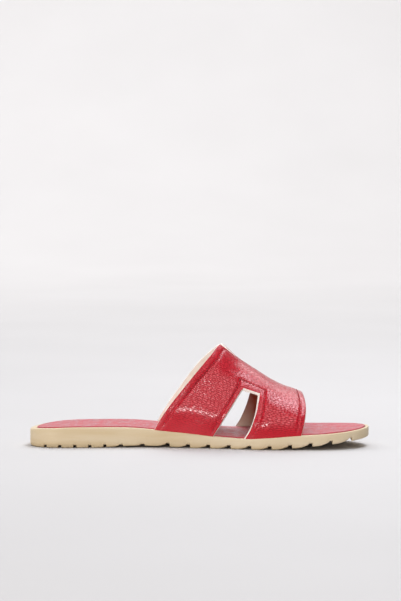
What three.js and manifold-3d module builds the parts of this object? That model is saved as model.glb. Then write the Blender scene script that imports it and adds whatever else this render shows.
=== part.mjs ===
// Flat slide slipper for the left foot: a moulded unit sole with a saw-tooth tread, a thin insole set
// into its rim, and a band upper of one piece, cut out on both sides and notched over the instep.
// Millimetres. +X points to the toe, -Y to the inner (medial) side of the foot, +Z up.
// The origin is on the floor, below the middle of the sole.
import * as THREE from "three";
import { mergeVertices } from "three/addons/utils/BufferGeometryUtils.js";
import Module from "manifold-3d";

const wasm = await Module();
wasm.setup();

// Driving dimensions
const soleLength = 249;
const ballWidth = 89;
const heelHeight = 14.8;
const ballHeight = 7.9;
const toeSpring = 7.3;
const archLift = 1.3;
const collarHeight = 75.8;
const upperWall = 2.6;
const seam = 0.3;

// Sole plan: ends close on superellipses about tips that lie off the centre line, to the medial side
const medialHeel = { reach: 22, power: 2 };
const lateralHeel = { reach: 42, power: 2 };
const heelTipShift = -11;
const heelTipBlend = 40;
const medialToe = { reach: 40, power: 2.2 };
const lateralToe = { reach: 58, power: 1.9 };
const toeTipShift = -11;
const toeTipBlend = 60;
const outlineSteps = 112;

// Sole edges: rounded foot of the wall, rounded rim, and the seat that is let in for the insole
const footRound = 1.4;
const rimRound = 0.9;
const rimWidth = 3.2;
const heelRimExtra = 1.6;
const toeRimLess = 0.8;
const rimBlend = 30;
const seatDepth = 1.2;
const insoleProud = 0.7;
const insoleRound = 0.5;

// Tread: square grooves under the heel, shallow steps under the waist, saw teeth under the forefoot
const heelGrooves = { first: 11.7, pitch: 10.95, count: 5, width: 2.3, depth: 1.6 };
const waistSteps = { first: 68.8, pitch: 15.8, count: 2, land: 10, rise: 0.5, recess: 0.4 };
const toothSteps = { first: 102.9, pitch: 14.8, count: 10, land: 6, rise: 1.5, recess: 0.7 };
const recessWidth = 2.4;
const rampStep = 0.15;
const rampPower = 1.4;
const cutterReach = 3;

// from: share of the length from the heel. medial, lateral: edges as shares of half the ball width.
// lift: underside over the floor. rim: top of the wall over the floor.
const soleSections = [
  { from: 0.0, medial: 0.652, lateral: 0.652, lift: 0.4, rim: heelHeight - 1.9 },
  { from: 0.02, medial: 0.654, lateral: 0.652, lift: 0.1, rim: heelHeight - 1.5 },
  { from: 0.044, medial: 0.656, lateral: 0.652, lift: 0, rim: heelHeight - 1.05 },
  { from: 0.12, medial: 0.658, lateral: 0.652, lift: 0, rim: heelHeight - 0.15 },
  { from: 0.2, medial: 0.64, lateral: 0.672, lift: 0, rim: heelHeight },
  { from: 0.26, medial: 0.621, lateral: 0.698, lift: archLift * 0.6, rim: heelHeight },
  { from: 0.32, medial: 0.616, lateral: 0.726, lift: archLift, rim: 14.2 },
  { from: 0.4, medial: 0.638, lateral: 0.778, lift: archLift * 0.6, rim: 12.3 },
  { from: 0.46, medial: 0.678, lateral: 0.822, lift: 0, rim: 11 },
  { from: 0.56, medial: 0.787, lateral: 0.912, lift: 0, rim: 8.6 },
  { from: 0.64, medial: 0.908, lateral: 0.978, lift: 0, rim: ballHeight },
  { from: 0.7, medial: 0.978, lateral: 1, lift: 0, rim: 8.8 },
  { from: 0.78, medial: 1, lateral: 0.98, lift: toeSpring * 0.18, rim: 10.4 },
  { from: 0.856, medial: 0.998, lateral: 0.921, lift: toeSpring * 0.44, rim: 11.3 },
  { from: 0.928, medial: 0.989, lateral: 0.854, lift: toeSpring * 0.7, rim: 12.7 },
  { from: 1, medial: 0.966, lateral: 0.809, lift: toeSpring, rim: 14.8 },
];

// Arch of the last at distance x from mid-length. ridge: outer height over the floor. lean: shift of
// the ridge towards the lateral side. fullness: power of the arch, 1 an ellipse and less is squarer.
const archSections = [
  { x: -45, ridge: collarHeight + 37, lean: -3, fullness: 1 },
  { x: -20, ridge: collarHeight + 25, lean: -3.5, fullness: 1 },
  { x: 0, ridge: collarHeight + 12.7, lean: -4, fullness: 1 },
  { x: 16, ridge: collarHeight, lean: -4, fullness: 1 },
  { x: 22, ridge: collarHeight - 5.9, lean: -4, fullness: 1 },
  { x: 28, ridge: collarHeight - 11.4, lean: -4, fullness: 1 },
  { x: 36, ridge: collarHeight - 17.1, lean: -4, fullness: 0.99 },
  { x: 44, ridge: collarHeight - 22.1, lean: -3.5, fullness: 0.97 },
  { x: 54, ridge: collarHeight - 28.3, lean: -3, fullness: 0.94 },
  { x: 64, ridge: collarHeight - 33.1, lean: -2.5, fullness: 0.91 },
  { x: 72, ridge: collarHeight - 35.7, lean: -2, fullness: 0.89 },
  { x: 84, ridge: collarHeight - 39.2, lean: -2, fullness: 0.87 },
];

// Pattern of the band on the medial side. girth: share of the way from the sole up to the ridge.
// The four edges are distances from mid-length: collar, rear and front of the cut-out, toe opening.
const patternRows = [
  { girth: 0, collar: -33, cutRear: 10.1, cutFront: 32.4, toe: 74 },
  { girth: 0.06, collar: -28.1, cutRear: 14, cutFront: 35.6, toe: 74.9 },
  { girth: 0.12, collar: -22.8, cutRear: 17.4, cutFront: 37.6, toe: 75.6 },
  { girth: 0.24, collar: -12.3, cutRear: 23.2, cutFront: 40.4, toe: 76.6 },
  { girth: 0.36, collar: -3.5, cutRear: 28, cutFront: 42, toe: 77.3 },
  { girth: 0.47, collar: 3, cutRear: 31.7, cutFront: 43.2, toe: 77.6 },
  { girth: 0.6, collar: 8.8, cutRear: 34.2, cutFront: 44.4, toe: 77.5 },
  { girth: 0.75, collar: 13, cutRear: 36, cutFront: 45.6, toe: 77 },
  { girth: 0.86, collar: 15.3, cutRear: 37, cutFront: 46.2, toe: 76.6 },
  { girth: 1, collar: 16.4, cutRear: 38, cutFront: 47, toe: 76.2 },
];
const collarCorner = 0.86;
const notchBottom = 29;
const cutTopRear = 0.458;
const cutTopFront = 0.49;
// How far forward the edges on the lateral side lie of those on the medial side, low and high
const lateralShift = {
  collar: { atSole: 1.2, atRidge: 1.2 },
  cutRear: { atSole: -3, atRidge: 0 },
  cutFront: { atSole: -5.5, atRidge: 0 },
  toe: { atSole: -4, atRidge: 0 },
};
// The lateral collar hangs back most at this girth, fading over the reach
const lateralCollarSag = { depth: 2.2, girth: 0.4, reach: 0.26 };

// Mesh steps of the band: along the foot between its four edges, and up each side between the sole,
// the top of the cut-out, the collar corner and the ridge
const bandColumns = { rear: 10, cut: 5, front: 9 };
const bandRows = { cut: 11, shoulder: 7, notch: 4 };

const halfLength = soleLength / 2;
const clamp = THREE.MathUtils.clamp;
const smoothstep = THREE.MathUtils.smoothstep;
const lerp = THREE.MathUtils.lerp;

// Cubic through one column of a table, with slopes taken from the neighbouring rows
function columnCurve(rows, along, column) {
  const xs = rows.map((row) => row[along]);
  const ys = rows.map((row) => row[column]);
  const last = rows.length - 1;
  const slopeOf = (i) => (ys[i + 1] - ys[i]) / (xs[i + 1] - xs[i]);
  const slopes = xs.map((x, i) => {
    if (i === 0) return slopeOf(0);
    if (i === last) return slopeOf(last - 1);
    const share = (x - xs[i - 1]) / (xs[i + 1] - xs[i - 1]);
    return lerp(slopeOf(i - 1), slopeOf(i), share);
  });
  return (x) => {
    let i = 0;
    while (i < last - 1 && x > xs[i + 1]) i += 1;
    const span = xs[i + 1] - xs[i];
    const t = clamp((x - xs[i]) / span, 0, 1);
    const s = 1 - t;
    const fromLeft = s * s * ((1 + 2 * t) * ys[i] + t * span * slopes[i]);
    const fromRight = t * t * ((1 + 2 * s) * ys[i + 1] - s * span * slopes[i + 1]);
    return fromLeft + fromRight;
  };
}

const medialCurve = columnCurve(soleSections, "from", "medial");
const lateralCurve = columnCurve(soleSections, "from", "lateral");
const liftCurve = columnCurve(soleSections, "from", "lift");
const rimCurve = columnCurve(soleSections, "from", "rim");
const liftAt = (x) => Math.max(0, liftCurve((x + halfLength) / soleLength));
const rimAt = (x) => rimCurve((x + halfLength) / soleLength);

// Closing factor of an outline that ends at distance 0 and is open at the end's reach
function closing(distance, end) {
  const back = clamp(1 - distance / end.reach, 0, 1);
  return (1 - back ** end.power) ** (1 / end.power);
}

// Edge of the sole in plan: side -1 is medial, +1 lateral
function soleEdge(x, side) {
  const share = (x + halfLength) / soleLength;
  const width = (side < 0 ? medialCurve(share) : lateralCurve(share)) * (ballWidth / 2);
  const toeMiddle = toeTipShift * smoothstep(x, halfLength - toeTipBlend, halfLength);
  const heelMiddle = heelTipShift * (1 - smoothstep(x, -halfLength, heelTipBlend - halfLength));
  const middle = toeMiddle + heelMiddle;
  const heel = closing(x + halfLength, side < 0 ? medialHeel : lateralHeel);
  const toe = closing(halfLength - x, side < 0 ? medialToe : lateralToe);
  return middle + (side * width - middle) * heel * toe;
}

// Point of the outline: turn 0 is the heel, 0.5 the toe, and the first half runs along the medial side
function outlinePoint(turn) {
  const angle = 2 * Math.PI * turn;
  const x = -halfLength * Math.cos(angle);
  return new THREE.Vector2(x, soleEdge(x, turn < 0.5 ? -1 : 1));
}

// Closed ring of points at an inset from the outline and at a height that depends on x
function outlineRing(insetAt, heightAt) {
  const step = 1 / outlineSteps;
  return Array.from({ length: outlineSteps }, (_, i) => {
    const turn = i * step;
    const here = outlinePoint(turn);
    const along = outlinePoint((turn + step / 4) % 1).sub(outlinePoint((turn + 1 - step / 4) % 1)).normalize();
    const inset = insetAt(here.x);
    const x = here.x - along.y * inset;
    return new THREE.Vector3(x, here.y + along.x * inset, heightAt(x));
  });
}

function geometryFrom(points, triangles) {
  const geometry = new THREE.BufferGeometry();
  geometry.setAttribute("position", new THREE.Float32BufferAttribute(points.flatMap((p) => p.toArray()), 3));
  geometry.setIndex(triangles.flat());
  return geometry;
}

// Closed solid from rings listed from the underside to the top; the two end rings are closed by
// strips laid across the foot, so a curved sole stays true between its edges
function ringSolid(rings) {
  const count = outlineSteps;
  const triangles = [];
  for (let level = 0; level + 1 < rings.length; level += 1) {
    for (let i = 0; i < count; i += 1) {
      const next = (i + 1) % count;
      const low = level * count;
      const high = low + count;
      triangles.push([low + i, low + next, high + next], [low + i, high + next, high + i]);
    }
  }
  const top = (rings.length - 1) * count;
  for (let i = 0; i < count / 2; i += 1) {
    const medial = [i, i + 1];
    const lateral = [(count - i) % count, count - i - 1];
    const strip = [];
    if (lateral[1] !== medial[1]) strip.push([medial[0], medial[1], lateral[1]]);
    else strip.push([medial[0], medial[1], lateral[0]]);
    if (i > 0 && lateral[1] !== medial[1]) strip.push([medial[0], lateral[1], lateral[0]]);
    for (const [a, b, c] of strip) {
      triangles.push([top + a, top + b, top + c], [a, c, b]);
    }
  }
  return geometryFrom(rings.flat(), triangles);
}

function solidOf(geometry) {
  const bare = geometry.clone();
  bare.deleteAttribute("normal");
  bare.deleteAttribute("uv");
  const merged = mergeVertices(bare);
  const vertProperties = new Float32Array(merged.attributes.position.array);
  const triVerts = new Uint32Array(merged.index.array);
  return new wasm.Manifold(new wasm.Mesh({ numProp: 3, vertProperties, triVerts }));
}

function geometryOf(solid) {
  const mesh = solid.getMesh();
  const geometry = new THREE.BufferGeometry();
  geometry.setAttribute("position", new THREE.Float32BufferAttribute(mesh.vertProperties, 3));
  geometry.setIndex(Array.from(mesh.triVerts));
  return geometry;
}

// Bar across the whole sole with a profile drawn in x and z
function crossBar(profile) {
  const shape = new THREE.Shape(profile.map(([x, z]) => new THREE.Vector2(x, z)));
  const bar = new THREE.ExtrudeGeometry(shape, { depth: ballWidth * 1.2, bevelEnabled: false });
  bar.rotateX(Math.PI / 2);
  bar.translate(0, ballWidth * 0.6, 0);
  return solidOf(bar);
}

function heelGrooveBar(index) {
  const middle = heelGrooves.first + index * heelGrooves.pitch - halfLength;
  const rear = middle - heelGrooves.width / 2;
  const front = middle + heelGrooves.width / 2;
  const roof = liftAt(middle) + heelGrooves.depth;
  return crossBar([[rear, -cutterReach], [front, -cutterReach], [front, roof], [rear, roof]]);
}

// Space in front of one tooth: it leaves the tooth's flat land with a slight step, climbs as a ramp
// and ends in a small recess behind the upright face of the next tooth
function toothBar(face, steps) {
  const start = face - steps.pitch + steps.land;
  const rampEnd = face - recessWidth;
  const climb = (x) => lerp(rampStep, steps.rise, ((x - start) / (rampEnd - start)) ** rampPower);
  const roofAt = (x) => liftAt(x) + climb(x);
  const ramp = [0, 0.25, 0.5, 0.75, 1].map((share) => lerp(start, rampEnd, share));
  const recessRoof = roofAt(rampEnd) + steps.recess;
  return crossBar([
    [start, -cutterReach],
    [face, -cutterReach],
    [face, recessRoof],
    [rampEnd + steps.recess / 2, recessRoof],
    ...ramp.reverse().map((x) => [x, roofAt(x)]),
  ]);
}

function treadBars() {
  const bars = [];
  for (let i = 0; i < heelGrooves.count; i += 1) bars.push(heelGrooveBar(i));
  for (const steps of [waistSteps, toothSteps]) {
    for (let i = 0; i < steps.count; i += 1) {
      bars.push(toothBar(steps.first + i * steps.pitch - halfLength, steps));
    }
  }
  return bars;
}

// Width of the bare rim around the insole: wider behind the heel, narrower in front of the toes
function rimWidthAt(x) {
  const heel = 1 - smoothstep(x, -halfLength, rimBlend - halfLength);
  const toe = smoothstep(x, halfLength - rimBlend, halfLength);
  return rimWidth + heelRimExtra * heel - toeRimLess * toe;
}

function unitSole() {
  const quarter = 1 - Math.SQRT1_2;
  const body = ringSolid([
    outlineRing(() => footRound, liftAt),
    outlineRing(() => footRound * quarter, (x) => liftAt(x) + footRound * quarter),
    outlineRing(() => 0, (x) => liftAt(x) + footRound),
    outlineRing(() => 0, (x) => rimAt(x) - rimRound),
    outlineRing(() => rimRound * quarter, (x) => rimAt(x) - rimRound * quarter),
    outlineRing(() => rimRound, rimAt),
    outlineRing(rimWidthAt, rimAt),
    outlineRing(rimWidthAt, (x) => rimAt(x) - seatDepth),
  ]);
  return geometryOf(treadBars().reduce((sole, bar) => sole.subtract(bar), solidOf(body)));
}

function insole() {
  const edge = (x) => rimWidthAt(x) + seam;
  const top = (x) => rimAt(x) + insoleProud;
  return ringSolid([
    outlineRing(edge, (x) => rimAt(x) - seatDepth + seam),
    outlineRing(edge, (x) => top(x) - insoleRound),
    outlineRing((x) => edge(x) + insoleRound, top),
  ]);
}

const ridgeCurve = columnCurve(archSections, "x", "ridge");
const leanCurve = columnCurve(archSections, "x", "lean");
const fullnessCurve = columnCurve(archSections, "x", "fullness");

// Outer face of the band at distance x from mid-length, at a girth from 0 on the side's sole edge to
// 1 on the ridge; side -1 is medial, +1 lateral
function archPoint(x, girth, side) {
  const medial = soleEdge(x, -1) + seam;
  const lateral = soleEdge(x, 1) - seam;
  const foot = rimAt(x) + seam;
  const across = Math.cos((girth * Math.PI) / 2) ** fullnessCurve(x);
  const up = Math.sin((girth * Math.PI) / 2) ** fullnessCurve(x);
  const y = (medial + lateral) / 2 + side * across * (lateral - medial) / 2 + leanCurve(x) * up * up;
  return new THREE.Vector3(x, y, foot + (ridgeCurve(x) - foot) * up);
}

// Outward normal of the arch, from small steps along the foot and around it
function archNormal(x, girth, side) {
  const step = 0.01;
  const along = archPoint(x + 1, girth, side).sub(archPoint(x - 1, girth, side));
  const above = Math.min(girth + step, 1);
  const below = Math.max(girth - step, 0);
  const around = archPoint(x, above, side).sub(archPoint(x, below, side));
  return around.cross(along).multiplyScalar(side).normalize();
}

const patternCurves = Object.fromEntries(
  ["collar", "cutRear", "cutFront", "toe"].map((edge) => [edge, columnCurve(patternRows, "girth", edge)]),
);

// Place of one of the band's four edges at a girth; past its corner the collar runs into the notch
function edgePlace(edge, girth, side) {
  if (edge === "collar" && girth > collarCorner) {
    const share = (girth - collarCorner) / (1 - collarCorner);
    return lerp(edgePlace(edge, collarCorner, side), notchBottom, share);
  }
  const place = patternCurves[edge](girth);
  if (side < 0) return place;
  const { atSole, atRidge } = lateralShift[edge];
  const { depth, girth: lowest, reach } = lateralCollarSag;
  const sag = edge === "collar" ? depth * Math.exp(-(((girth - lowest) / reach) ** 2)) : 0;
  return place + lerp(atSole, atRidge, girth) - sag;
}

// Columns of the band's mesh: each lies between two of its edges
function bandColumnList() {
  const spans = [
    ["collar", "cutRear", bandColumns.rear],
    ["cutRear", "cutFront", bandColumns.cut],
    ["cutFront", "toe", bandColumns.front],
  ];
  const columns = [];
  for (const [from, to, count] of spans) {
    for (let i = 0; i < count; i += 1) columns.push({ from, to, share: i / count });
  }
  columns.push({ from: "cutFront", to: "toe", share: 1 });
  return columns;
}

// Rows of the band's mesh from the medial sole edge over the ridge to the lateral sole edge; each
// holds its side and a girth that may differ along the foot, because the cut-out's top edge slopes
function bandRowList() {
  const oneSide = [];
  for (let i = 0; i < bandRows.cut; i += 1) oneSide.push((top) => top * (i / bandRows.cut));
  for (let i = 0; i < bandRows.shoulder; i += 1) {
    oneSide.push((top) => lerp(top, collarCorner, i / bandRows.shoulder));
  }
  for (let i = 0; i < bandRows.notch; i += 1) {
    oneSide.push(() => lerp(collarCorner, 1, i / bandRows.notch));
  }
  const medial = oneSide.map((girthBelow) => ({ side: -1, girthBelow }));
  const ridge = { side: 1, girthBelow: () => 1 };
  const lateral = oneSide.map((girthBelow) => ({ side: 1, girthBelow })).reverse();
  return [...medial, ridge, ...lateral];
}

// Girth of the cut-out's top edge in a column
function cutTop(column) {
  if (column.to === "cutRear") return cutTopRear;
  if (column.from === "cutFront") return cutTopFront;
  return lerp(cutTopRear, cutTopFront, column.share);
}

// Closed shell from two matching grids: outer and inner faces on the kept cells, walls on every edge
// where a kept cell has no kept neighbour
function gridShell(outer, inner, isKept) {
  const rows = outer.length;
  const columns = outer[0].length;
  const points = [...outer.flat(), ...inner.flat()];
  const below = rows * columns;
  const at = (row, column) => row * columns + column;
  const kept = (row, column) => {
    const inside = row >= 0 && column >= 0 && row < rows - 1 && column < columns - 1;
    return inside && isKept(row, column);
  };
  const triangles = [];
  const quad = (a, b, c, d) => triangles.push([a, b, c], [a, c, d]);
  for (let row = 0; row < rows - 1; row += 1) {
    for (let column = 0; column < columns - 1; column += 1) {
      if (!kept(row, column)) continue;
      const ring = [at(row, column), at(row, column + 1), at(row + 1, column + 1), at(row + 1, column)];
      const [a, b, c, d] = ring;
      quad(a, b, c, d);
      quad(d + below, c + below, b + below, a + below);
      const neighbours = [[row - 1, column], [row, column + 1], [row + 1, column], [row, column - 1]];
      neighbours.forEach(([nextRow, nextColumn], i) => {
        if (kept(nextRow, nextColumn)) return;
        const from = ring[i];
        const to = ring[(i + 1) % 4];
        quad(to, from, from + below, to + below);
      });
    }
  }
  return mergeVertices(geometryFrom(points, triangles));
}

function bandUpper() {
  const columns = bandColumnList();
  const rows = bandRowList();
  const outer = [];
  const inner = [];
  for (const row of rows) {
    const places = columns.map((column) => {
      const girth = row.girthBelow(cutTop(column));
      const x = lerp(edgePlace(column.from, girth, row.side), edgePlace(column.to, girth, row.side), column.share);
      return { x, girth };
    });
    outer.push(places.map(({ x, girth }) => archPoint(x, girth, row.side)));
    inner.push(places.map(({ x, girth }) => {
      const inward = archNormal(x, girth, row.side).multiplyScalar(-upperWall);
      return archPoint(x, girth, row.side).add(inward);
    }));
  }
  const cutColumns = [bandColumns.rear, bandColumns.rear + bandColumns.cut - 1];
  const isKept = (row, column) => {
    const inColumns = column >= cutColumns[0] && column <= cutColumns[1];
    const inRows = row < bandRows.cut || row >= rows.length - 1 - bandRows.cut;
    return !(inColumns && inRows);
  };
  return gridShell(outer, inner, isKept);
}

function piece(name, geometry, look) {
  const mesh = new THREE.Mesh(geometry, new THREE.MeshStandardMaterial({ metalness: 0, ...look }));
  mesh.name = name;
  return mesh;
}

const slide = new THREE.Group();
slide.add(piece("unit_sole", unitSole(), { color: "#d0bd95", roughness: 0.75 }));
slide.add(piece("insole", insole(), { color: "#b5303f", roughness: 0.5 }));
slide.add(piece("upper", bandUpper(), { color: "#b8222f", roughness: 0.4 }));

export default slide;
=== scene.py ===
import math

import bpy
import numpy as np
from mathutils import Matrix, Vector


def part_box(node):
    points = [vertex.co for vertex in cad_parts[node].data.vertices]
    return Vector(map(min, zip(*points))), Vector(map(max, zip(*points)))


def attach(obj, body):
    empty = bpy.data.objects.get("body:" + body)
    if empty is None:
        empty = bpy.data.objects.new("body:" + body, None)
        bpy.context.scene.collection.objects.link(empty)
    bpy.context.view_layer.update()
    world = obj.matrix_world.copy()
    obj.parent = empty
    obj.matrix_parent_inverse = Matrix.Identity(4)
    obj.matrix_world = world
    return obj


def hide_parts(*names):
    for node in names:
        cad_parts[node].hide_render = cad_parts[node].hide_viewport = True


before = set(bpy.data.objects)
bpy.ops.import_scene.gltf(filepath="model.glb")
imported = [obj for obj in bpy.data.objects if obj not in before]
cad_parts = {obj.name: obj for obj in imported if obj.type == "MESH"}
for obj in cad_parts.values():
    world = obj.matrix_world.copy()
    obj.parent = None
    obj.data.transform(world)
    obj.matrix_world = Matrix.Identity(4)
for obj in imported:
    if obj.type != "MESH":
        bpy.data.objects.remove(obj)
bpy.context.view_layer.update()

# Left slide slipper: moulded sole, leather-covered insole, lined leather band with sewn edges.
# Sizes are in millimetres and turn into metres when a mesh is made. +X is the toe, -Y the inner side.
mm = 0.001


# Helpers for curves and tables

def lerp(start, end, share):
    return start + (end - start) * share


def smoothstep(x, low, high):
    t = np.clip((x - low) / (high - low), 0, 1)
    return t * t * (3 - 2 * t)


def bump(distance, width):  # soft hill, 1 at its middle
    return np.exp(-(distance / width) ** 2)


def curveThrough(places, values):  # cubic through a column of a table, slopes from the neighbouring rows
    xs = np.array(places, float)
    ys = np.array(values, float)
    chord = np.diff(ys) / np.diff(xs)
    share = (xs[1:-1] - xs[:-2]) / (xs[2:] - xs[:-2])
    slope = np.concatenate([chord[:1], lerp(chord[:-1], chord[1:], share), chord[-1:]])

    def valueAt(x):
        i = np.clip(np.searchsorted(xs, x) - 1, 0, len(xs) - 2)
        span = xs[i + 1] - xs[i]
        t = np.clip((x - xs[i]) / span, 0, 1)
        s = 1 - t
        left = s * s * ((1 + 2 * t) * ys[i] + t * span * slope[i])
        return left + t * t * ((1 + 2 * s) * ys[i + 1] - s * span * slope[i + 1])

    return valueAt


def unit(vectors):
    return vectors / np.linalg.norm(vectors, axis=-1, keepdims=True)


# Helpers for materials

def linear(hexColour):  # sRGB hex to the linear colour that sockets take
    channels = [int(hexColour[i:i + 2], 16) / 255 for i in (1, 3, 5)]
    return tuple(c / 12.92 if c <= 0.04045 else ((c + 0.055) / 1.055) ** 2.4 for c in channels) + (1.0,)


def addNode(tree, kind, inputs=None, stops=None, **settings):  # one node with its settings and links
    node = tree.nodes.new("ShaderNode" + kind)
    for name, value in settings.items():
        setattr(node, name, value)
    for i, (place, hexColour) in enumerate(stops or []):
        element = node.color_ramp.elements[i] if i < 2 else node.color_ramp.elements.new(place)
        element.position = place
        element.color = linear(hexColour)
    for socket, value in (inputs or {}).items():
        if isinstance(value, bpy.types.Node):
            value = value.outputs[0]
        if isinstance(value, bpy.types.NodeSocket):
            tree.links.new(value, node.inputs[socket])
        else:
            node.inputs[socket].default_value = value
    return node


def newMaterial(name):
    material = bpy.data.materials.new(name)
    material.use_nodes = True
    material.node_tree.nodes.clear()
    return material, material.node_tree


def finishMaterial(material, inputs):  # surface shader and output
    tree = material.node_tree
    shader = addNode(tree, "BsdfPrincipled", inputs)
    addNode(tree, "OutputMaterial", {"Surface": shader})
    return material


def perMetre(size):  # texture scale for a pattern that repeats every size millimetres
    return 1 / (size * mm)


# Helper for meshes

def addMesh(name, points, faces, materials, faceSlots=None, sharpAngle=35.0):
    mesh = bpy.data.meshes.new(name)
    mesh.from_pydata((np.asarray(points) * mm).tolist(), [], faces)
    for material in materials:
        mesh.materials.append(material)
    if faceSlots is not None:
        mesh.polygons.foreach_set("material_index", faceSlots)
    mesh.shade_smooth()
    mesh.set_sharp_from_angle(angle=math.radians(sharpAngle))
    mesh.update()
    obj = bpy.data.objects.new(name, mesh)
    bpy.context.scene.collection.objects.link(obj)
    triangles = sum(len(face) - 2 for face in faces)
    print(f"{name}: {len(points)} points, {triangles} triangles")
    return obj


# Sole plan and heights, shared by all pieces

soleLow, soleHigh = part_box("unit_sole")
soleLength = (soleHigh.x - soleLow.x) / mm
halfLength = soleLength / 2
lastShape = {
    "ballWidth": 89.0,
    "toeSpring": 7.3,
    "archLift": 1.3,
    "toeTipShift": -11.0,  # the toe's tip lies towards the inner side
    "toeTipBlend": 60.0,
    "heelTipShift": -11.0,
    "heelTipBlend": 40.0,
    "medialHeel": (22.0, 2.0),  # reach and power of the superellipses that close the ends
    "lateralHeel": (42.0, 2.0),
    "medialToe": (40.0, 2.2),
    "lateralToe": (58.0, 1.9),
    "seam": 0.3,
    "rimWidth": 3.2,
    "heelRimExtra": 1.6,
    "toeRimLess": 0.8,
    "rimBlend": 30.0,
    # shares of the length from the heel, edges as shares of half the ball width, heights over the floor
    "from": [0, 0.02, 0.044, 0.12, 0.2, 0.26, 0.32, 0.4, 0.46, 0.56, 0.64, 0.7, 0.78, 0.856, 0.928, 1],
    "medial": [0.652, 0.654, 0.656, 0.658, 0.64, 0.621, 0.616, 0.638,
               0.678, 0.787, 0.908, 0.978, 1, 0.998, 0.989, 0.966],
    "lateral": [0.652, 0.652, 0.652, 0.652, 0.672, 0.698, 0.726, 0.778,
                0.822, 0.912, 0.978, 1, 0.98, 0.921, 0.854, 0.809],
    "heelLift": [0.4, 0.1, 0, 0, 0],
    "archShares": [0.6, 1, 0.6, 0, 0, 0, 0],
    "springShares": [0.18, 0.44, 0.7, 1],
    "rim": [12.9, 13.3, 13.75, 14.65, 14.8, 14.8, 14.2, 12.3, 11, 8.6, 7.9, 8.8, 10.4, 11.3, 12.7, 14.8],
}
liftRows = (
    lastShape["heelLift"]
    + [share * lastShape["archLift"] for share in lastShape["archShares"]]
    + [share * lastShape["toeSpring"] for share in lastShape["springShares"]]
)
medialCurve = curveThrough(lastShape["from"], lastShape["medial"])
lateralCurve = curveThrough(lastShape["from"], lastShape["lateral"])
liftCurve = curveThrough(lastShape["from"], liftRows)
rimCurve = curveThrough(lastShape["from"], lastShape["rim"])


def liftAt(x):  # underside over the floor
    return np.maximum(0, liftCurve((x + halfLength) / soleLength))


def rimAt(x):  # top of the sole's wall over the floor
    return rimCurve((x + halfLength) / soleLength)


def closing(distance, end):
    reach, power = end
    back = np.clip(1 - distance / reach, 0, 1)
    return (1 - back ** power) ** (1 / power)


def soleEdge(x, side):  # side -1 is the inner edge, +1 the outer
    share = (x + halfLength) / soleLength
    inner = np.asarray(side) < 0
    width = np.where(inner, medialCurve(share), lateralCurve(share)) * lastShape["ballWidth"] / 2
    toeMiddle = lastShape["toeTipShift"] * smoothstep(x, halfLength - lastShape["toeTipBlend"], halfLength)
    heelShare = 1 - smoothstep(x, -halfLength, lastShape["heelTipBlend"] - halfLength)
    middle = toeMiddle + lastShape["heelTipShift"] * heelShare
    innerHeel = closing(x + halfLength, lastShape["medialHeel"])
    heel = np.where(inner, innerHeel, closing(x + halfLength, lastShape["lateralHeel"]))
    innerToe = closing(halfLength - x, lastShape["medialToe"])
    toe = np.where(inner, innerToe, closing(halfLength - x, lastShape["lateralToe"]))
    return middle + (side * width - middle) * heel * toe


def rimWidthAt(x):  # bare rim around the insole
    heel = 1 - smoothstep(x, -halfLength, lastShape["rimBlend"] - halfLength)
    toe = smoothstep(x, halfLength - lastShape["rimBlend"], halfLength)
    return lastShape["rimWidth"] + lastShape["heelRimExtra"] * heel - lastShape["toeRimLess"] * toe


def outlineAt(angle):  # 0 at the heel, pi at the toe, the inner edge first
    x = -halfLength * np.cos(angle)
    return np.stack([x, soleEdge(x, np.where(np.sin(angle) >= 0, -1, 1))], -1)


def stationAngles(stations):  # ring of angles that passes the same stations on both edges
    half = np.arccos(np.clip(-np.asarray(stations) / halfLength, -1, 1))
    return np.concatenate([half, 2 * math.pi - half[-2:0:-1]])


def outlineRing(angles, insetAt, heightAt):
    step = 0.014
    here = outlineAt(angles)
    along = unit(outlineAt(angles + step) - outlineAt(angles - step))
    inset = insetAt(here[:, 0])
    x = here[:, 0] - along[:, 1] * inset
    y = here[:, 1] + along[:, 0] * inset
    return np.stack([x, y, heightAt(x)], -1)


def stackFaces(count, levels):  # walls between rings that follow each other
    faces = []
    for level in range(levels - 1):
        for i in range(count):
            j = (i + 1) % count
            low = level * count
            faces.append((low + i, low + j, low + count + j, low + count + i))
    return faces


def capRing(points, faces, start, count, steps, up, reliefAt=None):  # rows of points across the foot
    last = count // 2
    ring = points[start:start + count]
    rows = [[start]]
    for i in range(1, last):
        inner = np.array(ring[i])
        outer = np.array(ring[count - i])
        row = [start + i]
        for k in range(1, steps):
            point = lerp(inner, outer, k / steps)
            if reliefAt:
                point[2] += reliefAt(point[0], point[1])
            row.append(len(points))
            points.append(point)
        rows.append(row + [start + count - i])
    rows.append([start + last])
    for near, far in zip(rows[:-1], rows[1:]):
        for k in range(steps):
            if len(near) == 1:
                face = (near[0], far[k], far[k + 1])
            elif len(far) == 1:
                face = (near[k], far[0], near[k + 1])
            else:
                face = (near[k], far[k], far[k + 1], near[k + 1])
            faces.append(face if up else face[::-1])


def closeStack(rings, steps=1, reliefAt=None):  # points and faces of rings with a cap at both ends
    count = len(rings[0])
    faces = stackFaces(count, len(rings))
    points = [point for ring in rings for point in ring]
    capRing(points, faces, 0, count, 1, up=False)
    capRing(points, faces, (len(rings) - 1) * count, count, steps, True, reliefAt)
    return points, faces


# Moulded rubber, thermoplastic, straight from a fine-blasted mould: dull beige, faint cloudiness from
# the filler, darker within a few millimetres of the floor

rubberLook = {
    "pale": "#cebc9f",
    "deep": "#c2ab87",
    # darker colour that the sole takes within a few millimetres of the floor
    "nearFloorTone": "#a99573",
    "cloud": 9.0,  # height of the colour streaks
    "streak": (0.12, 0.3, 1.0),  # draws them out along the sole
    "nearFloorHeight": 3.0,
    "blast": 0.9,  # grit of the mould's face, drawn about four times too coarse so that it shows
    "blastDepth": 0.1,
}


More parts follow.
